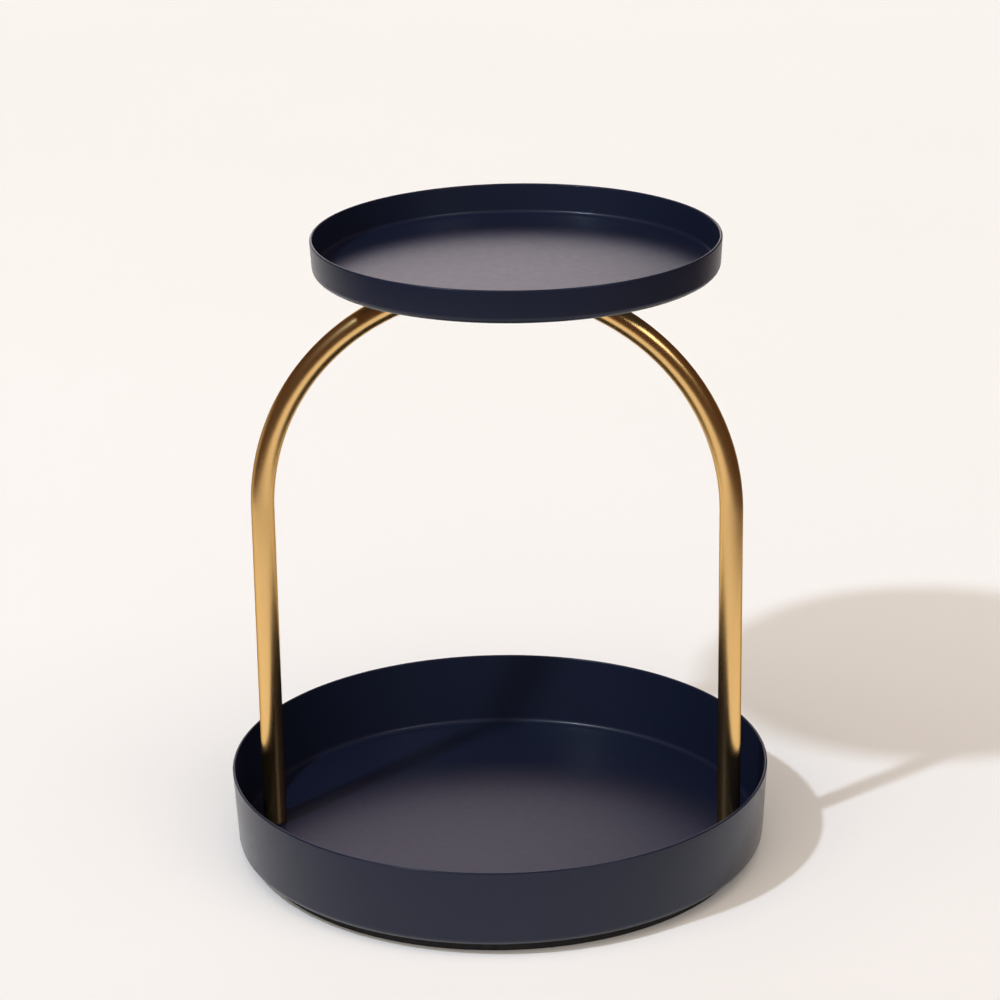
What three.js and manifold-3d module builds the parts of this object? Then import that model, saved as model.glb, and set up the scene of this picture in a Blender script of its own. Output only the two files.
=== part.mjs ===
// Two-tier cake stand: a deep lower tray and a shallow upper tray of pressed steel, joined by one bent tube.
// Units are millimetres and +Z is up. The origin is the centre of the base pad's underside, on the table.
// The arch stands in the XZ plane, with its left leg at -X and its right leg at +X.
import * as THREE from "three";
import { mergeVertices } from "three/addons/utils/BufferGeometryUtils.js";
import Module from "manifold-3d";

const wasm = await Module();
wasm.setup();

// ---- Driving dimensions ----
const RIM_TOP = 330; // overall height
const SHEET = 1.5; // coated sheet steel of both trays
const LOWER = { rimR: 140, height: 41, draft: 3.2, cornerR: 3, segments: 90 }; // cornerR is the inside radius
const UPPER = { rimR: 102.5, height: 17, draft: 3.1, cornerR: 2.2, segments: 72 };
const UPPER_SHIFT = 12; // the upper tray's centre stands this far from the middle of the arch, to the right

const PAD = { radius: 130, thickness: 6, glue: 0.3, edge: 0.8, pocketR: 6.5 };

const TUBE = { radius: 6, wall: 1.5, legX: 120, sides: 16, bendSteps: 36 };
const CROWN_CLEARANCE = 2.8; // from the top of the arch to the upper tray's underside
const GASKET = { radius: 5.7, thickness: 0.8 }; // between tube end and tray floor
const PLUG = { length: 18, recess: 0.5, chamfer: 0.6 };

const LEG_SCREW = { radius: 2.5, length: 16, headR: 4.75, headHeight: 2.75, rim: 0.35, flatR: 2.2, tip: 0.6 };
const SOCKET = { acrossFlats: 3, depth: 1.6 };
const LEG_WASHER = { radius: 5, thickness: 1 };
const LEG_SPRING = { radius: 4.6, thickness: 1.2 };

const STUD = { radius: 2, length: 22.5, flangeR: 3.5, flangeHeight: 0.8, x: 16, tip: 0.5 };
const SADDLE = { length: 56, width: 18, depth: 7.9, cornerR: 4 };
const SHAPED_WASHER = { radius: 5, height: 4, crown: 1.6 }; // crown is its thickness below the tube
const STUD_SPRING = { radius: 3.8, thickness: 0.9 };
const CAP_NUT = { acrossFlats: 7, hexHeight: 3.2, height: 5.5, domeR: 3.3, boreDepth: 4 };

const CUT_GAP = 0.3; // between a piece and the neighbour that it is cut to fit
const STACK_GAP = 0.1; // between washers, nuts and faces that are stacked
const SPLIT = 1; // opening of a spring washer
const HARDWARE_SIDES = 20;
const HOLE_SIDES = 16;
const OVERRUN = 1; // how far a cutter runs past the face that it cuts

// ---- Heights that follow from them ----
const LOWER_Z = PAD.thickness; // underside of the lower tray
const LOWER_FLOOR = LOWER_Z + SHEET;
const TUBE_END_Z = LOWER_FLOOR + GASKET.thickness + 2 * STACK_GAP;
const UPPER_Z = RIM_TOP - UPPER.height; // underside of the upper tray
const BEND_R = TUBE.legX; // centreline radius: the bend is a half circle
const BEND_Z = UPPER_Z - CROWN_CLEARANCE - TUBE.radius - BEND_R; // where the straight legs end
const SIDES = { left: -1, right: 1 };

// ---- Materials ----
const finish = (color, roughness, metalness) =>
  new THREE.MeshStandardMaterial({ color, roughness, metalness });
const navyCoat = finish(0x1b2238, 0.45, 0.1);
const satinBrass = finish(0xe4b976, 0.3, 1);
const blackFoam = finish(0x141414, 0.9, 0);
const zincSteel = finish(0xa9abad, 0.35, 1);
const blackNylon = finish(0x1c1c1e, 0.6, 0);

// ---- Cuts and joins ----
function solid(geometry) {
  const bare = geometry.clone();
  bare.deleteAttribute("normal");
  bare.deleteAttribute("uv");
  const merged = mergeVertices(bare);
  return new wasm.Manifold(
    new wasm.Mesh({
      numProp: 3,
      vertProperties: new Float32Array(merged.attributes.position.array),
      triVerts: new Uint32Array(merged.index.array),
    }),
  );
}

function geometryOf(manifold) {
  const mesh = manifold.getMesh();
  const geometry = new THREE.BufferGeometry();
  geometry.setAttribute("position", new THREE.BufferAttribute(mesh.vertProperties, mesh.numProp));
  geometry.setIndex(new THREE.BufferAttribute(mesh.triVerts, 1));
  geometry.computeVertexNormals();
  return geometry;
}

const cut = (base, ...cutters) =>
  geometryOf(cutters.reduce((left, cutter) => left.subtract(solid(cutter)), solid(base)));

const join = (base, ...others) =>
  geometryOf(others.reduce((sum, other) => sum.add(solid(other)), solid(base)));

// ---- Turned and drilled shapes, about the Z axis ----
// A profile is a list of [radius, height] points that runs up on the outside.
function turned(profile, segments = HARDWARE_SIDES) {
  const points = profile.map(([r, z]) => new THREE.Vector2(r, z));
  return new THREE.LatheGeometry(points, segments).rotateX(Math.PI / 2);
}

const rod = (radius, low, high, sides) =>
  turned([[0, low], [radius, low], [radius, high], [0, high]], sides);

const ring = (inner, outer, low, high) =>
  turned([[inner, low], [outer, low], [outer, high], [inner, high], [inner, low]]);

const hexagon = (acrossFlats, low, high) => rod(acrossFlats / Math.sqrt(3), low, high, 6);

const hole = (radius, low, high) => rod(radius, low - OVERRUN, high + OVERRUN, HOLE_SIDES);

// Points on an arc about [r, z], between two angles in degrees.
function arc([r, z], radius, from, to, steps) {
  return Array.from({ length: steps + 1 }, (_, i) => {
    const angle = THREE.MathUtils.degToRad(from + ((to - from) * i) / steps);
    return [r + radius * Math.cos(angle), z + radius * Math.sin(angle)];
  });
}

// Points on a domed end about the axis, from [flatR, low] out to [edgeR, high].
function dome(flatR, low, edgeR, high, steps) {
  const rise = high - low;
  const centre = high + (edgeR ** 2 - flatR ** 2 - rise ** 2) / (2 * rise);
  const radius = Math.hypot(edgeR, centre - high);
  const angleAt = (r) => -THREE.MathUtils.radToDeg(Math.acos(r / radius));
  return arc([0, centre], radius, angleAt(flatR), angleAt(edgeR), steps);
}

// ---- Trays ----
// A pressed tray with its underside at z = 0: flat floor, rounded corner, drafted wall and rounded rim.
function trayGeometry({ rimR, height, draft, cornerR, segments }) {
  const slope = THREE.MathUtils.degToRad(draft);
  const outerR = cornerR + SHEET;
  const lip = SHEET / 2;
  const rise = height - lip - outerR; // from the corner's centre to the rim's centre
  const rim = [rimR - lip, height - lip];
  const corner = [rim[0] - (rise * Math.sin(slope) + cornerR + lip) / Math.cos(slope), outerR];
  const profile = [
    [0, 0],
    ...arc(corner, outerR, -90, -draft, 4),
    ...arc(rim, lip, -draft, 180 - draft, 4),
    ...arc(corner, cornerR, -draft, -90, 4),
    [0, SHEET],
  ];
  return turned(profile, segments);
}

function lowerTray() {
  const drills = Object.values(SIDES).map((side) =>
    hole(LEG_SCREW.radius + CUT_GAP, 0, SHEET).translate(side * TUBE.legX, 0, 0));
  return cut(trayGeometry(LOWER), ...drills);
}

// A disc under the lower tray, with its edges broken and a pocket round each screw head.
function basePad() {
  const { radius, edge } = PAD;
  const top = PAD.thickness - PAD.glue;
  const disc = turned(
    [[0, 0], [radius - edge, 0], [radius, edge], [radius, top - edge], [radius - edge, top], [0, top]],
    LOWER.segments,
  );
  const pockets = Object.values(SIDES).map((side) =>
    hole(PAD.pocketR, 0, top).translate(side * TUBE.legX, 0, 0));
  return cut(disc, ...pockets);
}

// ---- Arch ----
// The tube's centreline: up the left leg, over a half circle and down the right leg.
// Its length is shared out by stations, one for each straight leg and bendSteps for the bend.
class ArchLine extends THREE.Curve {
  getPoint(t, target = new THREE.Vector3()) {
    const station = t * (TUBE.bendSteps + 2) - 1;
    const angle = this.angleAt(t);
    const straight = Math.max(0, -station, station - TUBE.bendSteps); // 1 at the feet, 0 on the bend
    const z = BEND_Z + BEND_R * Math.sin(angle) - straight * (BEND_Z - TUBE_END_Z);
    return target.set(BEND_R * Math.cos(angle), 0, z);
  }

  angleAt(t) {
    const bend = (t * (TUBE.bendSteps + 2) - 1) / TUBE.bendSteps;
    return Math.PI * (1 - THREE.MathUtils.clamp(bend, 0, 1));
  }

  getPointAt(t, target) {
    return this.getPoint(t, target);
  }

  getTangentAt(t, target = new THREE.Vector3()) {
    const angle = this.angleAt(t);
    return target.set(Math.sin(angle), 0, -Math.cos(angle));
  }
}

function archTube() {
  const section = new THREE.Shape().absarc(0, 0, TUBE.radius, 0, 2 * Math.PI);
  section.holes.push(new THREE.Path().absarc(0, 0, TUBE.radius - TUBE.wall, 0, 2 * Math.PI, true));
  const tube = new THREE.ExtrudeGeometry(section, {
    steps: TUBE.bendSteps + 2,
    curveSegments: TUBE.sides / 2,
    extrudePath: new ArchLine(),
  });
  return cut(tube, ...studHoles(BEND_Z, UPPER_Z));
}

// The bend's outside with room for the pieces that are cut to sit on it.
const bendCutter = () =>
  new THREE.TorusGeometry(BEND_R, TUBE.radius + CUT_GAP, TUBE.sides, 2 * TUBE.bendSteps)
    .rotateX(Math.PI / 2)
    .translate(0, 0, BEND_Z);

const studHoles = (low, high) =>
  Object.values(SIDES).map((side) => hole(STUD.radius + CUT_GAP, low, high).translate(side * STUD.x, 0, 0));

// Height of the cut bend's lowest line at x.
function bendUndersideZ(x) {
  const centre = BEND_Z + Math.sqrt(BEND_R ** 2 - x ** 2);
  const reach = (TUBE.radius + CUT_GAP) * (BEND_R / (centre - BEND_Z));
  return centre - reach;
}

// ---- Feet of the arch ----
// A threaded plug, pressed into the tube's end, with its lower end at z = 0.
function legPlug() {
  const { length, chamfer } = PLUG;
  const outer = TUBE.radius - TUBE.wall - CUT_GAP;
  const inner = LEG_SCREW.radius + CUT_GAP;
  return turned([
    [inner, 0],
    [outer - chamfer, 0],
    [outer, chamfer],
    [outer, length - chamfer],
    [outer - chamfer, length],
    [inner, length],
    [inner, 0],
  ]);
}

// A button head screw with the face under its head at z = 0 and its shank going up.
function legScrew() {
  const { radius, length, headR, headHeight, rim, flatR, tip } = LEG_SCREW;
  const body = turned([
    [0, -headHeight],
    ...dome(flatR, -headHeight, headR, -rim, 4),
    [headR, 0],
    [radius, 0],
    [radius, length - tip],
    [radius - tip, length],
    [0, length],
  ]);
  return cut(body, hexagon(SOCKET.acrossFlats, -headHeight - OVERRUN, SOCKET.depth - headHeight));
}

// A split ring with its lower face at z = 0.
function springWasher(inner, { radius, thickness }) {
  const slit = new THREE.BoxGeometry(2 * radius, SPLIT, 4 * thickness).translate(radius, 0, 0);
  return cut(ring(inner, radius, 0, thickness), slit);
}

// ---- Fixing of the upper tray ----
// A cradle block with a flat top at z = UPPER_Z, hollowed to sit on the bend and recessed for the studs.
function archSaddle() {
  const { length, width, depth, cornerR } = SADDLE;
  const [x, y] = [length / 2 - cornerR, width / 2 - cornerR];
  const outline = new THREE.Shape()
    .absarc(x, y, cornerR, 0, Math.PI / 2)
    .absarc(-x, y, cornerR, Math.PI / 2, Math.PI)
    .absarc(-x, -y, cornerR, Math.PI, 1.5 * Math.PI)
    .absarc(x, -y, cornerR, 1.5 * Math.PI, 2 * Math.PI);
  const top = UPPER_Z - STACK_GAP;
  const block = new THREE.ExtrudeGeometry(outline, { depth, bevelEnabled: false, curveSegments: 4 })
    .translate(0, 0, top - depth);
  const recessDepth = STUD.flangeHeight + STACK_GAP;
  const recesses = Object.values(SIDES).map((side) =>
    hole(STUD.flangeR + CUT_GAP, top - recessDepth + OVERRUN, top).translate(side * STUD.x, 0, 0));
  return cut(block, bendCutter(), ...studHoles(top - depth, top), ...recesses);
}

// A weld stud with its flange's top face at z = 0 and its shank going down.
function trayStud() {
  const { radius, length, flangeR, flangeHeight, tip } = STUD;
  return turned([
    [0, -length],
    [radius - tip, -length],
    [radius, tip - length],
    [radius, -flangeHeight],
    [flangeR, -flangeHeight],
    [flangeR, 0],
    [0, 0],
  ]);
}

// A washer whose upper face is hollowed to the tube, in the part's own frame because the bend cuts it.
function shapedWasher(x, low) {
  const { radius, height } = SHAPED_WASHER;
  const blank = ring(STUD.radius + CUT_GAP, radius, low, low + height).translate(x, 0, 0);
  return cut(blank, bendCutter());
}

// A cap nut with its seat at z = 0 and its dome below.
function capNut() {
  const { acrossFlats, hexHeight, height, domeR, boreDepth } = CAP_NUT;
  const cap = turned([...dome(0, -height, domeR, -hexHeight, 4), [domeR, -STACK_GAP], [0, -STACK_GAP]]);
  const nut = join(hexagon(acrossFlats, -hexHeight, 0), cap);
  return cut(nut, hole(STUD.radius + CUT_GAP, OVERRUN - boreDepth, 0));
}

// ---- Assembly ----
const cakeStand = new THREE.Group();

function add(name, geometry, material, x = 0, z = 0) {
  const mesh = new THREE.Mesh(geometry, material);
  mesh.name = name;
  mesh.position.set(x, 0, z);
  cakeStand.add(mesh);
}

add("base_pad", basePad(), blackFoam);
add("lower_tray", lowerTray(), navyCoat, 0, LOWER_Z);
add("arch_tube", archTube(), satinBrass);
add("arch_saddle", archSaddle(), blackNylon);
add("upper_tray", trayGeometry(UPPER), navyCoat, UPPER_SHIFT, UPPER_Z);

for (const [side, sign] of Object.entries(SIDES)) {
  const legX = sign * TUBE.legX;
  const screwHole = LEG_SCREW.radius + CUT_GAP;
  const washerZ = LOWER_Z - STACK_GAP - LEG_WASHER.thickness;
  const springZ = washerZ - STACK_GAP - LEG_SPRING.thickness;
  add(`leg_gasket_${side}`, ring(screwHole, GASKET.radius, 0, GASKET.thickness), blackNylon,
    legX, LOWER_FLOOR + STACK_GAP);
  add(`leg_plug_${side}`, legPlug(), zincSteel, legX, TUBE_END_Z + PLUG.recess);
  add(`leg_washer_${side}`, ring(screwHole, LEG_WASHER.radius, 0, LEG_WASHER.thickness), zincSteel,
    legX, washerZ);
  add(`leg_spring_washer_${side}`, springWasher(screwHole, LEG_SPRING), zincSteel, legX, springZ);
  add(`leg_screw_${side}`, legScrew(), zincSteel, legX, springZ - STACK_GAP);

  const studX = sign * STUD.x;
  const shapedZ = bendUndersideZ(STUD.x) - SHAPED_WASHER.crown;
  const studSpringZ = shapedZ - STACK_GAP - STUD_SPRING.thickness;
  add(`tray_stud_${side}`, trayStud(), zincSteel, studX, UPPER_Z - STACK_GAP);
  add(`shaped_washer_${side}`, shapedWasher(studX, shapedZ), zincSteel);
  add(`stud_spring_washer_${side}`, springWasher(STUD.radius + CUT_GAP, STUD_SPRING), zincSteel,
    studX, studSpringZ);
  add(`cap_nut_${side}`, capNut(), zincSteel, studX, studSpringZ - STACK_GAP);
}

export default cakeStand;
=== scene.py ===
"""Looks for the two-tier cake stand: trays, arch, base pad and fasteners, in metres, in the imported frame."""
import math

import bpy
from mathutils import Matrix, Vector

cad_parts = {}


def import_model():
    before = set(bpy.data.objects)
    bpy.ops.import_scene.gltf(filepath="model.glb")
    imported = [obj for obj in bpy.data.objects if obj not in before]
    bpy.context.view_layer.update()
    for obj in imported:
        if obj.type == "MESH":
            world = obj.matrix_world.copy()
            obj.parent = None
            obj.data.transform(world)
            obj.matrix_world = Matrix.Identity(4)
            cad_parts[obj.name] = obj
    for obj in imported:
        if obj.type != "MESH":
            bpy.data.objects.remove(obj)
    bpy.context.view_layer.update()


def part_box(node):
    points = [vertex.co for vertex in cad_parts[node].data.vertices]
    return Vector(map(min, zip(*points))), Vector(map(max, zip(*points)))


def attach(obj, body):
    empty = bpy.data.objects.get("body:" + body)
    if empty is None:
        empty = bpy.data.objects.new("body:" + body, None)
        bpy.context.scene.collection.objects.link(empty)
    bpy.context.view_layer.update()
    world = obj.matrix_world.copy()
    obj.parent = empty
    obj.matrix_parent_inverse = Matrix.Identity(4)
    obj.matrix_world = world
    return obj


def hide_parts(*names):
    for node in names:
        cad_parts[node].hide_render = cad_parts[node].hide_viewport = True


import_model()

MM = 0.001
BODY = "root"
SIDES = ("left", "right")

# Trays
SHEET = 1.5 * MM
LOWER_DRAFT = math.radians(3.2)
UPPER_DRAFT = math.radians(3.1)
LOWER_CORNER = 3 * MM  # inside radius between floor and wall
UPPER_CORNER = 2.2 * MM
TRAY_SEGMENTS = 288
FLOOR_EDGE = 0.3 * MM  # a flat margin before the corner, so that the floor is shaded flat

# Tube
TUBE_WALL = 1.5 * MM
TUBE_CHAMFER = 0.35 * MM
TUBE_SIDES = 72
LEG_STEPS = 24
BEND_STEPS = 160
CROWN = 0.7  # the crown of the bend starts at this share of its radius

# Fasteners
M4_RADIUS = 2 * MM
M4_PITCH = 0.7 * MM
M5_RADIUS = 2.5 * MM
M5_PITCH = 0.8 * MM
CLEARANCE = 0.3 * MM
STACK_GAP = 0.1 * MM  # between pieces that rest on each other
THREAD_DEPTH = 0.35  # of the pitch
THREAD_SIDES = 40
THREAD_STEPS = 8  # rings in a turn of thread
HEAD_HEIGHT = 2.75 * MM
HEAD_RIM = 0.35 * MM
HEAD_FLAT_R = 2.2 * MM
HEAD_EDGE = 0.1 * MM
SOCKET_FLATS = 3 * MM
SOCKET_DEPTH = 1.6 * MM
FLANGE_HEIGHT = 0.8 * MM
FLANGE_EDGE = 0.2 * MM
PLUG_EDGE = 0.3 * MM
PLUG_CHAMFER = 0.6 * MM
GROOVES = 4
GROOVE_START = 4 * MM
GROOVE_SPACING = 3 * MM
GROOVE_WIDTH = 1 * MM
GROOVE_DEPTH = 0.35 * MM
SHAPED_R = 5 * MM
SHAPED_HEIGHT = 4 * MM
SHAPED_EDGE = 0.25 * MM
NUT_FLATS = 7 * MM
NUT_HEX_HEIGHT = 3.2 * MM
NUT_DOME_R = 3.3 * MM
NUT_BORE = 4 * MM
NUT_CHAMFER = 0.5 * MM
NUT_SLOPE = 1.75  # how far the chamfer runs in for its height
NUT_MARGIN = 0.01 * MM
WASHER_EDGE = 0.15 * MM
SPLIT_ANGLE = math.radians(13)  # opening of a spring washer
SPLIT_SKEW = 90  # turn of its ends, in radians per metre of thickness
HEAD_SEGMENTS = 64
FLANGE_SEGMENTS = 56
WASHER_SEGMENTS = 72
NUT_SEGMENTS = 96
BORE_SEGMENTS = 40

# Base pad and saddle
PAD_EDGE = 0.9 * MM
PAD_POCKET_R = 6.5 * MM
SADDLE_CORNER = 4 * MM
SADDLE_EDGE = 0.6 * MM

OVERRUN = 1 * MM  # how far a cutter runs past the face that it cuts


# ---------------------------------------------------------------- places, from the CAD nodes
class Place:
    """Where a round CAD node stands: its centre line, radius and heights."""

    def __init__(self, node):
        low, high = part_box(node)
        self.x = (low.x + high.x) / 2
        self.radius = max(high.x - low.x, high.y - low.y) / 2
        self.low = low.z
        self.height = high.z - low.z


tube_low, tube_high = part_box("arch_tube")
TUBE_R = (tube_high.y - tube_low.y) / 2
BEND_R = (tube_high.x - tube_low.x) / 2 - TUBE_R
TUBE_FOOT = tube_low.z
BEND_Z = tube_high.z - TUBE_R - BEND_R


# ---------------------------------------------------------------- mesh building
def skin(rings, closed=False):
    """Vertices and faces over rings of equal length or single points. An open skin is capped at both ends."""
    verts, starts, faces = [], [], []
    for ring in rings:
        starts.append(len(verts))
        verts.extend(ring)
    count = len(rings)
    for a in range(count if closed else count - 1):
        b = (a + 1) % count
        many = max(len(rings[a]), len(rings[b]))
        for k in range(many):
            after = (k + 1) % many
            if len(rings[a]) == 1:
                faces.append((starts[a], starts[b] + after, starts[b] + k))
            elif len(rings[b]) == 1:
                faces.append((starts[a] + k, starts[a] + after, starts[b]))
            else:
                faces.append((starts[a] + k, starts[a] + after, starts[b] + after, starts[b] + k))
    if not closed:
        if len(rings[0]) > 1:
            faces.append(tuple(reversed(range(starts[0], starts[0] + len(rings[0])))))
        if len(rings[-1]) > 1:
            faces.append(tuple(range(starts[-1], starts[-1] + len(rings[-1]))))
    return verts, faces


def turned(profile, segments, x=0.0, z=0.0):
    """A profile of (radius, height) points, rising on the outside, turned about the vertical line at x.

    Its vertices stand half a step off the x axis, so that no cutter's vertex falls on an edge of its piece.
    """
    closed = profile[0] == profile[-1]
    turns = [2 * math.pi * (k + 0.5) / segments for k in range(segments)]
    rings = []
    for r, h in profile[:-1] if closed else profile:
        if r == 0:
            rings.append([(x, 0.0, z + h)])
        else:
            rings.append([(x + r * math.cos(a), r * math.sin(a), z + h) for a in turns])
    return skin(rings, closed)


def rod(radius, low, high, x, z, sides=48):
    return turned([(0, low), (radius, low), (radius, high), (0, high)], sides, x, z)


def hexagon(across_flats, low, high, x, z):
    """A hexagonal prism with two of its corners on the x axis."""
    r = across_flats / math.sqrt(3)
    turns = [math.pi * k / 3 for k in range(6)]
    return skin([[(x + r * math.cos(a), r * math.sin(a), z + h) for a in turns] for h in (low, high)])


def arc(centre, radius, start, end, steps):
    """Points on an arc about (radius, height), between two angles in degrees."""
    points = []
    for i in range(steps + 1):
        a = math.radians(start + (end - start) * i / steps)
        points.append((centre[0] + radius * math.cos(a), centre[1] + radius * math.sin(a)))
    return points


def rounded(inner, outer, height, edge, steps=4):
    """The closed profile of a ring with rounded edges."""
    points = arc((outer - edge, edge), edge, -90, 0, steps)
    points += arc((outer - edge, height - edge), edge, 0, 90, steps)
    points += arc((inner + edge, height - edge), edge, 90, 180, steps)
    points += arc((inner + edge, edge), edge, 180, 270, steps)
    return points + points[:1]


def make(name, shape):
    """A mesh object from vertices and faces."""
    verts, faces = shape
    mesh = bpy.data.meshes.new(name)
    mesh.from_pydata(verts, [], faces)
    mesh.validate()
    smooth(mesh)
    piece = bpy.data.objects.new(name, mesh)
    bpy.context.scene.collection.objects.link(piece)
    return piece


def smooth(mesh, sharp=35):
    """Smooth shading, but for the edges sharper than so many degrees."""
    mesh.polygons.foreach_set("use_smooth", [True] * len(mesh.polygons))
    mesh.set_sharp_from_angle(angle=math.radians(sharp))


def combine(piece, operation, *shapes):
    """Cuts shapes from a piece, or joins or crosses them with it."""
    for shape in shapes:
        tool = make("tool", shape)
        change = piece.modifiers.new("combine", "BOOLEAN")
        change.operation = operation
        change.solver = "EXACT"
        change.object = tool
        graph = bpy.context.evaluated_depsgraph_get()
        mesh = bpy.data.meshes.new_from_object(piece.evaluated_get(graph))
        piece.modifiers.clear()
        piece.data = mesh
        smooth(mesh)
        bpy.data.objects.remove(tool)


def place(piece, node, material):
    """Puts a finished piece on the object in place of its CAD node."""
    piece.data.materials.clear()
    piece.data.materials.append(material)
    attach(piece, BODY)
    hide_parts(node)


# ---------------------------------------------------------------- materials, with noise scales per metre
class Graph:
    """A short way to write the nodes of a material or a world."""

    def __init__(self, owner):
        owner.use_nodes = True
        self.tree = owner.node_tree
        self.tree.nodes.clear()
        self.coords = self.node("ShaderNodeTexCoord").outputs["Object"]

    def node(self, kind, **settings):
        made = self.tree.nodes.new(kind)
        for key, value in settings.items():
            if key in made.inputs:
                self.feed(made.inputs[key], value)
            else:
                setattr(made, key, value)
        return made

    def feed(self, socket, value):
        if isinstance(value, bpy.types.NodeSocket):
            self.tree.links.new(value, socket)
        else:
            socket.default_value = value

    def shade(self, **inputs):
        """Ends a material with a Principled shader, whose inputs are named with _ for a space."""
        shader = self.node("ShaderNodeBsdfPrincipled")
        for key, value in inputs.items():
            self.feed(shader.inputs[key.replace("_", " ")], value)
        self.finish("ShaderNodeOutputMaterial", shader.outputs["BSDF"])

    def finish(self, kind, result):
        output = self.node(kind)
        self.tree.links.new(result, output.inputs["Surface"])

    def stretched(self, coords, scale):
        return self.node("ShaderNodeMapping", Vector=coords, Scale=scale).outputs["Vector"]

    def noise(self, scale, detail, coords=None):
        made = self.node("ShaderNodeTexNoise", Vector=coords or self.coords, Scale=scale, Detail=detail)
        return made.outputs["Fac"]

    def ramp(self, value, low, high, out_low=0.0, out_high=1.0):
        made = self.node("ShaderNodeMapRange", Value=value)
        for key, number in (("From Min", low), ("From Max", high), ("To Min", out_low), ("To Max", out_high)):
            made.inputs[key].default_value = number
        return made.outputs["Result"]

    def cloud(self, scale, detail, out_low=0.0, out_high=1.0):
        """Noise spread over its whole range."""
        return self.ramp(self.noise(scale, detail), 0.3, 0.7, out_low, out_high)

    def mix(self, share, first, second):
        made = self.node("ShaderNodeMix", data_type="RGBA")
        for socket, value in zip((made.inputs[0], made.inputs[6], made.inputs[7]), (share, first, second)):
            self.feed(socket, value)
        return made.outputs[2]

    def math(self, operation, first, second):
        made = self.node("ShaderNodeMath", operation=operation)
        self.feed(made.inputs[0], first)
        self.feed(made.inputs[1], second)
        return made.outputs[0]

    def axes(self, coords):
        split = self.node("ShaderNodeSeparateXYZ", Vector=coords)
        return [split.outputs[name] for name in "XYZ"]

    def bump(self, height, distance, strength, normal=None):
        made = self.node("ShaderNodeBump", Height=height, Distance=distance, Strength=strength)
        if normal is not None:
            self.feed(made.inputs["Normal"], normal)
        return made.outputs["Normal"]


def colour(r, g, b):
    return (r, g, b, 1.0)


def navy_coat():
    """Satin powder coat: paint under a clear skin, with fine orange peel and a few specks of dust."""
    made = bpy.data.materials.new("navy_powder_coat")
    g = Graph(made)
    paint = g.mix(g.cloud(14, 3), colour(0.0058, 0.0089, 0.0240), colour(0.0066, 0.0100, 0.0268))
    cells = g.node("ShaderNodeTexVoronoi", Vector=g.coords, Scale=85)
    pick = g.node("ShaderNodeSeparateColor", Color=cells.outputs["Color"])
    near = g.math("LESS_THAN", cells.outputs["Distance"], 0.016)
    speck = g.math("MULTIPLY", near, g.math("GREATER_THAN", pick.outputs["Red"], 0.72))
    peel = g.bump(g.noise(850, 2), 0.003 * MM, 0.8)
    grain = g.bump(g.noise(3800, 2), 0.0012 * MM, 0.8, peel)
    g.shade(
        Base_Color=g.mix(speck, paint, colour(0.20, 0.21, 0.24)),
        Roughness=g.cloud(260, 3, 0.45, 0.49),
        IOR=1.28,
        Normal=grain,
        Coat_Weight=0.75,
        Coat_Roughness=g.cloud(260, 3, 0.23, 0.26),
        Coat_IOR=1.28,
        Coat_Normal=grain,
    )
    return made


def satin_brass():
    """Brass plating on a tube brushed along its length: tube_coord runs along it and round it."""
    made = bpy.data.materials.new("satin_brass")
    g = Graph(made)
    along = g.node("ShaderNodeAttribute", attribute_name="tube_coord").outputs["Vector"]
    lines = g.noise(1.0, 3, g.stretched(along, (60, 5200, 5200)))
    broad = g.noise(1.0, 3, g.stretched(along, (9, 420, 420)))
    patch = g.ramp(g.noise(1.0, 3, g.stretched(along, (45, 90, 90))), 0.3, 0.7)
    streaks = g.bump(lines, 0.0016 * MM, 0.6)
    waves = g.bump(broad, 0.006 * MM, 0.5, streaks)
    g.shade(
        Base_Color=g.mix(patch, colour(0.85, 0.54, 0.20), colour(0.91, 0.60, 0.25)),
        Metallic=1.0,
        Roughness=g.math("ADD", g.ramp(patch, 0, 1, 0.21, 0.26), g.ramp(lines, 0.35, 0.7, 0.0, 0.06)),
        Specular_Tint=colour(0.28, 0.19, 0.15),
        Normal=g.bump(g.noise(1700, 2), 0.0015 * MM, 0.8, waves),
    )
    return made


def zinc_plate():
    """Bright zinc plate on turned steel, a little clouded."""
    made = bpy.data.materials.new("zinc_plate")
    g = Graph(made)
    g.shade(
        Base_Color=g.mix(g.cloud(500, 4), colour(0.50, 0.51, 0.53), colour(0.66, 0.66, 0.64)),
        Metallic=1.0,
        Roughness=g.cloud(1400, 4, 0.22, 0.42),
        Normal=g.bump(g.noise(6000, 3), 0.003 * MM, 0.7),
    )
    return made


def black_foam():
    """Closed-cell foam sheet with a cut edge."""
    made = bpy.data.materials.new("black_foam")
    g = Graph(made)
    pores = g.node("ShaderNodeTexVoronoi", Vector=g.coords, Scale=1500).outputs["Distance"]
    g.shade(
        Base_Color=g.mix(g.cloud(250, 4), colour(0.008, 0.008, 0.009), colour(0.016, 0.016, 0.017)),
        Roughness=g.ramp(pores, 0.0, 0.6, 0.75, 0.95),
        Normal=g.bump(pores, 0.05 * MM, 0.6, g.bump(g.noise(220, 3), 0.05 * MM, 0.4)),
    )
    return made


def black_nylon():
    """Moulded nylon with a fine spark-eroded surface."""
    made = bpy.data.materials.new("black_nylon")
    g = Graph(made)
    g.shade(
        Base_Color=g.mix(g.cloud(150, 3), colour(0.010, 0.010, 0.011), colour(0.017, 0.017, 0.018)),
        Roughness=g.cloud(2600, 3, 0.45, 0.62),
        Normal=g.bump(g.noise(2600, 3), 0.012 * MM, 0.7),
    )
    return made


NAVY = navy_coat()
BRASS = satin_brass()
ZINC = zinc_plate()
FOAM = black_foam()
NYLON = black_nylon()


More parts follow.
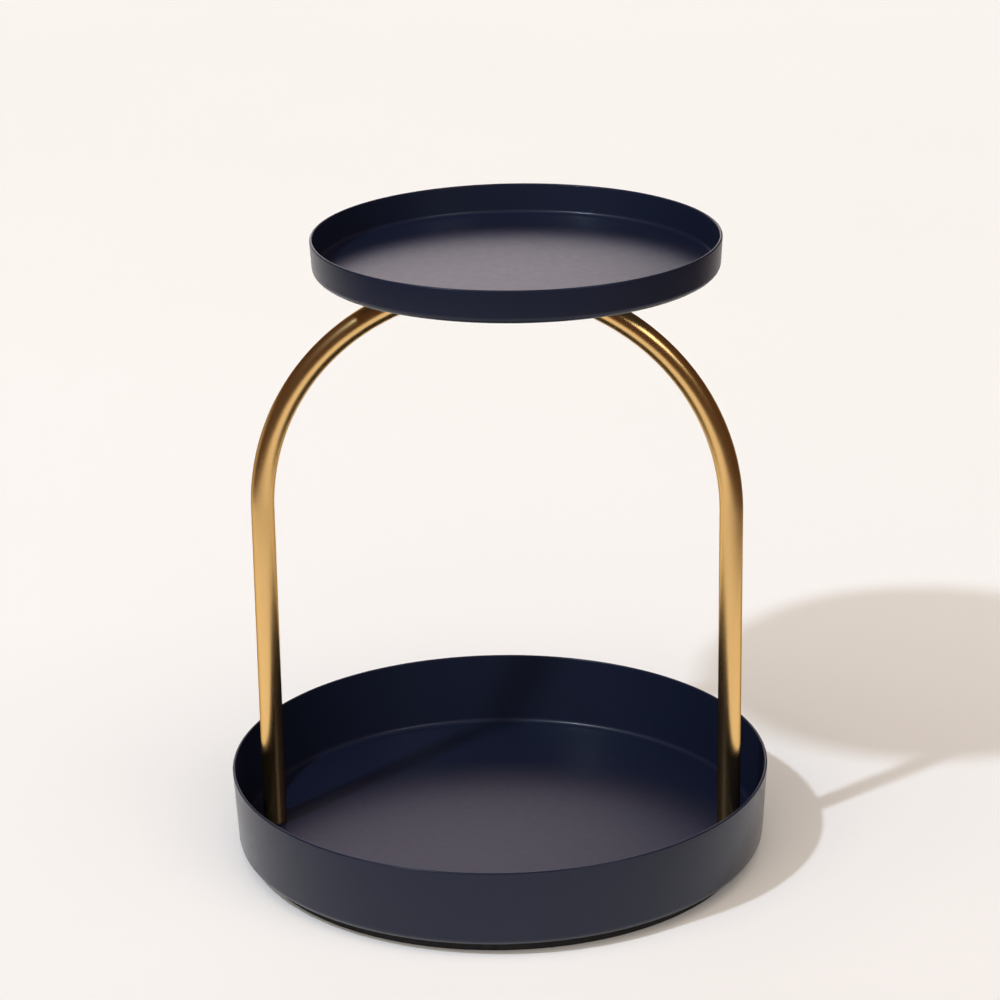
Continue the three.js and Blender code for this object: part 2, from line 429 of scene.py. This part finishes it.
# ---------------------------------------------------------------- trays
def tray(node, draft, corner):
    """A pressed tray: flat floor, rounded corner, drafted wall and rounded rim, all of one sheet."""
    at = Place(node)
    outer = corner + SHEET
    lip = SHEET / 2
    rise = at.height - lip - outer
    rim = (at.radius - lip, at.height - lip)
    bend = (rim[0] - (rise * math.sin(draft) + corner + lip) / math.cos(draft), outer)
    lean = math.degrees(draft)
    profile = [(0, 0), (bend[0] / 2, 0), (bend[0] - FLOOR_EDGE, 0)]
    profile += arc(bend, outer, -90, -lean, 12)
    profile += arc(rim, lip, -lean, 180 - lean, 14)
    profile += arc(bend, corner, -lean, -90, 12)
    profile += [(bend[0] - FLOOR_EDGE, SHEET), (bend[0] / 2, SHEET), (0, SHEET)]
    return make(node + "_pressing", turned(profile, TRAY_SEGMENTS, at.x, at.low))


def lower_tray():
    at = Place("lower_tray")
    holes = []
    for side in SIDES:
        screw = Place(f"leg_screw_{side}")
        holes.append(rod(M5_RADIUS + CLEARANCE, -OVERRUN, SHEET + OVERRUN, screw.x, at.low))
    piece = tray("lower_tray", LOWER_DRAFT, LOWER_CORNER)
    combine(piece, "DIFFERENCE", *holes)
    place(piece, "lower_tray", NAVY)


def upper_tray():
    place(tray("upper_tray", UPPER_DRAFT, UPPER_CORNER), "upper_tray", NAVY)


# ---------------------------------------------------------------- base pad
def base_pad():
    """A foam disc with a pocket round each screw head."""
    at = Place("base_pad")
    profile = [(0, 0), (at.radius / 2, 0)]
    profile += arc((at.radius - PAD_EDGE, PAD_EDGE), PAD_EDGE, -90, 0, 6)
    profile += arc((at.radius - PAD_EDGE, at.height - PAD_EDGE), PAD_EDGE, 0, 90, 6)
    profile += [(at.radius / 2, at.height), (0, at.height)]
    piece = make("base_pad_foam", turned(profile, TRAY_SEGMENTS, at.x, at.low))
    for side in SIDES:
        screw = Place(f"leg_screw_{side}")
        pocket = rod(PAD_POCKET_R, -OVERRUN, at.height + OVERRUN, screw.x, at.low, HEAD_SEGMENTS)
        combine(piece, "DIFFERENCE", pocket)
    place(piece, "base_pad", FOAM)


# ---------------------------------------------------------------- arch
def arch_stations():
    """Points along the arch as (place, outward direction, distance along it)."""
    leg = BEND_Z - TUBE_FOOT
    bend = math.pi * BEND_R
    stations = []
    for i in range(LEG_STEPS):
        rise = leg * i / LEG_STEPS
        stations.append((Vector((-BEND_R, 0, TUBE_FOOT + rise)), Vector((-1, 0, 0)), rise))
    for i in range(BEND_STEPS + 1):
        a = math.pi * (1 - i / BEND_STEPS)
        out = Vector((math.cos(a), 0, math.sin(a)))
        stations.append((Vector((0, 0, BEND_Z)) + out * BEND_R, out, leg + bend * i / BEND_STEPS))
    for i in range(1, LEG_STEPS + 1):
        drop = leg * i / LEG_STEPS
        stations.append((Vector((BEND_R, 0, BEND_Z - drop)), Vector((1, 0, 0)), leg + bend + drop))
    return stations


def tube_ring(station, radius, up=0.0):
    centre, out, _ = station
    middle = centre + Vector((0, 0, up))
    side = Vector((0, -1, 0))
    turns = [2 * math.pi * k / TUBE_SIDES for k in range(TUBE_SIDES)]
    return [tuple(middle + radius * (out * math.cos(a) + side * math.sin(a))) for a in turns]


def bend_cutter():
    """The crown of the bend with a clearance round it, for the pieces that are cut to sit on it."""
    crown = [s for s in arch_stations() if s[0].z > BEND_Z + CROWN * BEND_R]
    return skin([tube_ring(s, TUBE_R + CLEARANCE) for s in crown])


def arch_tube():
    """The bent tube with its bore, chamfered ends and two stud holes through the crown."""
    stations = arch_stations()
    first, last = stations[0], stations[-1]
    middle = stations[1:-1]
    bore = TUBE_R - TUBE_WALL
    way = [(first, TUBE_R, TUBE_CHAMFER)]
    way += [(s, TUBE_R, 0.0) for s in middle]
    way += [(last, TUBE_R, TUBE_CHAMFER), (last, TUBE_R - TUBE_CHAMFER, 0.0)]
    way += [(last, bore + TUBE_CHAMFER, 0.0), (last, bore, TUBE_CHAMFER)]
    way += [(s, bore, 0.0) for s in reversed(middle)]
    way += [(first, bore, TUBE_CHAMFER), (first, bore + TUBE_CHAMFER, 0.0)]
    way += [(first, TUBE_R - TUBE_CHAMFER, 0.0)]
    piece = make("arch_tube_bent", skin([tube_ring(*stop) for stop in way], closed=True))
    values = []
    for (_, _, length), _, _ in way:
        for k in range(TUBE_SIDES):
            a = 2 * math.pi * k / TUBE_SIDES
            values.extend((length, TUBE_R * math.cos(a), TUBE_R * math.sin(a)))
    coords = piece.data.attributes.new("tube_coord", "FLOAT_VECTOR", "POINT")
    coords.data.foreach_set("vector", values)
    for side in SIDES:
        stud = Place(f"tray_stud_{side}")
        reach = 3 * TUBE_R
        hole = rod(M4_RADIUS + CLEARANCE, -reach, reach, stud.x, BEND_Z + BEND_R, BORE_SEGMENTS)
        combine(piece, "DIFFERENCE", hole)
    place(piece, "arch_tube", BRASS)


# ---------------------------------------------------------------- fasteners
def thread(radius, pitch, low, high, x, z):
    """A threaded shank: rings whose radius follows a helical groove, which starts and ends at its root."""
    steps = round((high - low) / pitch * THREAD_STEPS)
    rings = []
    for i in range(steps + 1):
        h = low + (high - low) * i / steps
        fade = min(1.0, (high - h) / pitch, (h - low) / (0.5 * pitch) + 0.001)
        ring = []
        for k in range(THREAD_SIDES):
            a = 2 * math.pi * k / THREAD_SIDES
            wave = abs(((h / pitch - k / THREAD_SIDES) % 1.0) * 2 - 1)
            r = radius - THREAD_DEPTH * pitch * max(wave, 1 - fade)
            ring.append((x + r * math.cos(a), r * math.sin(a), z + h))
        rings.append(ring)
    return skin(rings)


def leg_screw(side):
    """A button head socket screw, head down."""
    at = Place(f"leg_screw_{side}")
    neck = 0.9 * M5_RADIUS
    rise = HEAD_HEIGHT - HEAD_RIM
    centre = (at.radius ** 2 - HEAD_FLAT_R ** 2 + rise ** 2) / (2 * rise)
    dome_r = math.hypot(HEAD_FLAT_R, centre)
    start = -math.degrees(math.acos(HEAD_FLAT_R / dome_r))
    stop = -math.degrees(math.acos(at.radius / dome_r))
    head = [(0, 0)]
    head += arc((0, centre), dome_r, start, stop, 14)
    head += [(at.radius, HEAD_HEIGHT - HEAD_EDGE), (at.radius - HEAD_EDGE, HEAD_HEIGHT)]
    head += [(neck, HEAD_HEIGHT), (0, HEAD_HEIGHT)]
    piece = make(f"leg_screw_{side}_m5", turned(head, HEAD_SEGMENTS, at.x, at.low))
    combine(piece, "DIFFERENCE", hexagon(SOCKET_FLATS, -OVERRUN, SOCKET_DEPTH, at.x, at.low))
    combine(piece, "UNION", thread(M5_RADIUS, M5_PITCH, HEAD_HEIGHT - 2 * HEAD_EDGE, at.height, at.x, at.low))
    place(piece, f"leg_screw_{side}", ZINC)


def ring_piece(node, suffix, material):
    """A leg's washer or gasket: a plain ring with rounded edges."""
    at = Place(node)
    profile = rounded(M5_RADIUS + CLEARANCE, at.radius, at.height, WASHER_EDGE)
    piece = make(f"{node}_{suffix}", turned(profile, WASHER_SEGMENTS, at.x, at.low))
    place(piece, node, material)


def spring_washer(node, inner):
    """A split washer whose two ends are skewed and stand a hair apart."""
    at = Place(node)
    section = rounded(inner, at.radius, at.height, 0.8 * WASHER_EDGE)[:0:-1]
    rings = []
    for i in range(WASHER_SEGMENTS + 1):
        a = SPLIT_ANGLE / 2 + (2 * math.pi - SPLIT_ANGLE) * i / WASHER_SEGMENTS
        skewed = [(r, h, a + h * SPLIT_SKEW) for r, h in section]
        rings.append([(at.x + r * math.cos(turn), r * math.sin(turn), at.low + h) for r, h, turn in skewed])
    place(make(f"{node}_split", skin(rings)), node, ZINC)


def leg_plug(side):
    """A threaded insert with gripping grooves round its outside."""
    at = Place(f"leg_plug_{side}")
    inner = M5_RADIUS + CLEARANCE
    root = at.radius - GROOVE_DEPTH
    profile = arc((inner + PLUG_EDGE, PLUG_EDGE), PLUG_EDGE, 180, 270, 3)
    profile += [(at.radius - PLUG_CHAMFER, 0), (at.radius, PLUG_CHAMFER)]
    for i in range(GROOVES):
        h = GROOVE_START + GROOVE_SPACING * i
        profile += [(at.radius, h), (root, h + GROOVE_DEPTH)]
        profile += [(root, h + GROOVE_WIDTH), (at.radius, h + GROOVE_WIDTH + GROOVE_DEPTH)]
    profile += [(at.radius, at.height - PLUG_CHAMFER), (at.radius - PLUG_CHAMFER, at.height)]
    profile += arc((inner + PLUG_EDGE, at.height - PLUG_EDGE), PLUG_EDGE, 90, 180, 3)
    profile += profile[:1]
    piece = make(f"leg_plug_{side}_insert", turned(profile, HEAD_SEGMENTS, at.x, at.low))
    place(piece, f"leg_plug_{side}", ZINC)


def saddle_outline(half_x, half_y, inset, z):
    """A rectangle with rounded corners, drawn in by the inset."""
    steps = 10
    x, y = half_x - SADDLE_CORNER, half_y - SADDLE_CORNER
    radius = SADDLE_CORNER - inset
    ring = []
    for quarter, (cx, cy) in enumerate(((x, y), (-x, y), (-x, -y), (x, -y))):
        for i in range(steps + 1):
            a = math.pi / 2 * (quarter + i / steps)
            ring.append((cx + radius * math.cos(a), cy + radius * math.sin(a), z))
    return ring


def arch_saddle():
    """The cradle block: rounded ends, a flat top recessed for the studs, hollowed to the bend."""
    low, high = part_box("arch_saddle")
    edges = arc((SADDLE_EDGE, low.z + SADDLE_EDGE), SADDLE_EDGE, 270, 180, 4)
    edges += arc((SADDLE_EDGE, high.z - SADDLE_EDGE), SADDLE_EDGE, 180, 90, 4)
    piece = make("arch_saddle_block", skin([saddle_outline(high.x, high.y, inset, z) for inset, z in edges]))
    combine(piece, "DIFFERENCE", bend_cutter())
    recess = FLANGE_HEIGHT + STACK_GAP
    height = high.z - low.z
    for side in SIDES:
        stud = Place(f"tray_stud_{side}")
        shank = rod(M4_RADIUS + CLEARANCE, -height, OVERRUN, stud.x, high.z, BORE_SEGMENTS)
        flange = rod(stud.radius + CLEARANCE, -recess, OVERRUN, stud.x, high.z)
        combine(piece, "DIFFERENCE", shank, flange)
    place(piece, "arch_saddle", NYLON)


def tray_stud(side):
    """A weld stud: a thin flange with a threaded shank below it."""
    at = Place(f"tray_stud_{side}")
    flange_low = at.height - FLANGE_HEIGHT
    flange = [(0, flange_low)]
    flange += arc((at.radius - FLANGE_EDGE, flange_low + FLANGE_EDGE), FLANGE_EDGE, -90, 0, 3)
    flange += [(at.radius, at.height), (0, at.height)]
    piece = make(f"tray_stud_{side}_m4", turned(flange, FLANGE_SEGMENTS, at.x, at.low))
    length = flange_low + FLANGE_EDGE
    verts, faces = thread(M4_RADIUS, M4_PITCH, 0, length, 0, 0)
    turn = Matrix.Translation((at.x, 0, at.low + length)) @ Matrix.Rotation(math.pi, 4, "X")
    combine(piece, "UNION", ([tuple(turn @ Vector(v)) for v in verts], faces))
    place(piece, f"tray_stud_{side}", ZINC)


def shaped_washer(side):
    """A washer hollowed on top to the underside of the bend."""
    low = Place(f"shaped_washer_{side}").low
    stud = Place(f"tray_stud_{side}")
    profile = rounded(M4_RADIUS + CLEARANCE, SHAPED_R, SHAPED_HEIGHT, SHAPED_EDGE)
    piece = make(f"shaped_washer_{side}_turned", turned(profile, WASHER_SEGMENTS, stud.x, low))
    combine(piece, "DIFFERENCE", bend_cutter())
    place(piece, f"shaped_washer_{side}", ZINC)


def cap_nut(side):
    """A low cap nut, dome down, with chamfered corners."""
    at = Place(f"cap_nut_{side}")
    high = at.height
    corner = NUT_FLATS / math.sqrt(3)
    hex_low = high - NUT_HEX_HEIGHT
    piece = make(f"cap_nut_{side}_m4", hexagon(NUT_FLATS, hex_low, high, at.x, at.low))
    wide = corner + NUT_MARGIN
    cut_in = corner - NUT_SLOPE * NUT_CHAMFER
    cone = 1.7 * OVERRUN
    turning = [(0, hex_low - OVERRUN), (cut_in - cone, hex_low - OVERRUN), (cut_in, hex_low)]
    turning += [(wide, hex_low + NUT_CHAMFER), (wide, high - NUT_CHAMFER), (cut_in, high)]
    turning += [(cut_in, high + OVERRUN), (0, high + OVERRUN)]
    combine(piece, "INTERSECT", turned(turning, NUT_SEGMENTS, at.x, at.low))
    centre = (NUT_DOME_R ** 2 + hex_low ** 2) / (2 * hex_low)
    stop = -math.degrees(math.acos(NUT_DOME_R / centre))
    dome = [(0, 0)]
    dome += arc((0, centre), centre, -90, stop, 16)[1:]
    dome += [(NUT_DOME_R, hex_low + OVERRUN), (0, hex_low + OVERRUN)]
    combine(piece, "UNION", turned(dome, WASHER_SEGMENTS, at.x, at.low))
    bore = rod(M4_RADIUS + CLEARANCE, high - NUT_BORE, high + OVERRUN, at.x, at.low, BORE_SEGMENTS)
    combine(piece, "DIFFERENCE", bore)
    place(piece, f"cap_nut_{side}", ZINC)


# ---------------------------------------------------------------- stage, lights and camera
def paper():
    """Pale paper, with a faint glow that grows with distance and towards the back, to look evenly lit."""
    made = bpy.data.materials.new("paper")
    g = Graph(made)
    away = g.node("ShaderNodeVectorMath", operation="LENGTH", Vector=g.coords).outputs["Value"]
    far_glow = g.ramp(away, 0.2, 3.0, 0.0, 0.18)
    back_glow = g.ramp(g.axes(g.coords)[1], -0.40, 0.30, 0.0, 0.115)
    g.shade(
        Base_Color=g.mix(g.cloud(3, 3), colour(0.852, 0.830, 0.802), colour(0.862, 0.840, 0.812)),
        Roughness=0.9,
        Normal=g.bump(g.noise(700, 3), 0.02 * MM, 0.3),
        Emission_Color=colour(0.86, 0.98, 1.0),
        Emission_Strength=g.math("ADD", far_glow, back_glow),
    )
    return made


def floor_ring(name, inner, outer, x, material):
    """A flat ring of the floor, or a disc where inner is 0."""
    sides = 128
    around = [2 * math.pi * k / sides for k in range(sides)]
    rings = [[(x + r * math.cos(a), r * math.sin(a), 0.0) for a in around] for r in (inner, outer)]
    verts, faces = skin(rings, closed=True)
    piece = make(name, (verts, faces[:sides]))
    piece.data.materials.append(material)
    return piece


def stage():
    """A pale floor. Only its near part is mirrored in the object, as on a table in a dark studio."""
    material = paper()
    table_r = 0.63
    table_x = -0.08
    floor_r = 14.0
    floor_ring("floor_near", 0.0, table_r, table_x, material)
    far = floor_ring("floor_far", table_r, floor_r, table_x, material)
    far.visible_glossy = False


def lamp(name, kind, power, tint, at, target):
    data = bpy.data.lights.new(name, kind)
    data.energy = power
    data.color = tint
    made = bpy.data.objects.new(name, data)
    bpy.context.scene.collection.objects.link(made)
    made.location = at
    made.rotation_euler = (Vector(target) - Vector(at)).to_track_quat("-Z", "Y").to_euler()
    return made


def lights():
    """A hard key from the front left, an even fill, and two cards that are only mirrored in the object."""
    middle = (0, 0, 0.15)
    crown = (0.08, 0, 0.26)
    key = lamp("key", "AREA", 5.2, (0.73, 0.85, 1.0), (-0.912, -0.969, 1.633), middle)
    key.data.shape = "DISK"
    key.data.size = 0.10
    key.data.use_nodes = True
    tree = key.data.node_tree
    even = tree.nodes.new("ShaderNodeLightFalloff")
    even.inputs["Strength"].default_value = 1.0
    tree.links.new(even.outputs["Constant"], tree.nodes["Emission"].inputs["Strength"])
    fill = lamp("soft_fill", "SUN", 2.62, (1.0, 0.905, 0.81), (0.0, -0.95, 1.40), middle)
    fill.data.angle = math.radians(100)
    fill.visible_glossy = False
    side = lamp("side_card", "AREA", 6.0, (1.0, 1.0, 1.0), (1.25, -1.17, 1.38), crown)
    side.data.size = 0.8
    side.visible_diffuse = False
    back = lamp("back_card", "AREA", 2.65, (1.0, 0.80, 0.88), (-0.40, 2.0, 0.90), (-0.40, 0, 0.90))
    back.data.shape = "RECTANGLE"
    back.data.size = 0.9
    back.data.size_y = 1.0
    back.visible_diffuse = False


def world():
    """A dark warm room with pale paper below, and behind it a pale wall that is bluer higher up.

    The limits of each ramp are parts of a direction's unit vector: x to the right, y to the back, z up.
    """
    made = bpy.data.worlds.new("studio")
    bpy.context.scene.world = made
    g = Graph(made)
    x, y, z = g.axes(g.node("ShaderNodeTexCoord").outputs["Generated"])
    across = g.math("ABSOLUTE", g.math("ADD", x, 0.20), 0.0)
    wall = g.math("MULTIPLY", g.ramp(across, 0.40, 0.20), g.ramp(y, 0.3, 0.5))
    ground = g.ramp(g.math("SUBTRACT", y, g.math("MULTIPLY", x, 0.35)), 0.30, 1.15)
    above = g.ramp(z, -0.02, 0.08)
    below = g.math("SUBTRACT", 1.0, above)
    pale = g.math("ADD", g.math("MULTIPLY", wall, above), g.math("MULTIPLY", ground, below))
    share = g.math("MULTIPLY", pale, g.ramp(z, 0.46, 0.36))
    paper_tint = g.mix(g.ramp(z, 0.28, 0.38), colour(0.95, 0.90, 0.87), colour(0.48, 0.60, 0.80))
    room = g.mix(share, colour(0.078, 0.042, 0.030), paper_tint)
    seen = g.node("ShaderNodeLightPath").outputs["Is Camera Ray"]
    shown = g.mix(seen, room, colour(0.80, 0.73, 0.66))
    background = g.node("ShaderNodeBackground", Color=shown, Strength=1.0)
    g.finish("ShaderNodeOutputWorld", background.outputs[0])


def camera():
    """A long lens from in front and above, the arch nearly square to it."""
    target = Vector((2.1, 0, 189.6)) * MM
    distance = 1.690
    elevation = math.radians(19.63)
    azimuth = math.radians(3.65)
    roll = math.radians(-0.88)
    data = bpy.data.cameras.new("camera")
    data.sensor_width = 36
    data.lens = 119.14
    data.clip_end = 60
    eye = bpy.data.objects.new("camera", data)
    bpy.context.scene.collection.objects.link(eye)
    back = Vector((0, -math.cos(elevation), math.sin(elevation)))
    around = Matrix.Rotation(azimuth, 4, "Z")
    away = Matrix.Translation(target + back * distance)
    tilt = Matrix.Rotation(math.pi / 2 - elevation, 4, "X")
    eye.matrix_world = around @ away @ tilt @ Matrix.Rotation(roll, 4, "Z")
    bpy.context.scene.camera = eye


# ---------------------------------------------------------------- the object
def build():
    lower_tray()
    upper_tray()
    base_pad()
    arch_tube()
    arch_saddle()
    for side in SIDES:
        leg_screw(side)
        leg_plug(side)
        ring_piece(f"leg_washer_{side}", "flat", ZINC)
        ring_piece(f"leg_gasket_{side}", "ring", NYLON)
        spring_washer(f"leg_spring_washer_{side}", M5_RADIUS + CLEARANCE)
        tray_stud(side)
        shaped_washer(side)
        spring_washer(f"stud_spring_washer_{side}", M4_RADIUS + CLEARANCE)
        cap_nut(side)


build()
stage()
lights()
world()
camera()
bpy.context.scene.view_settings.view_transform = "Standard"
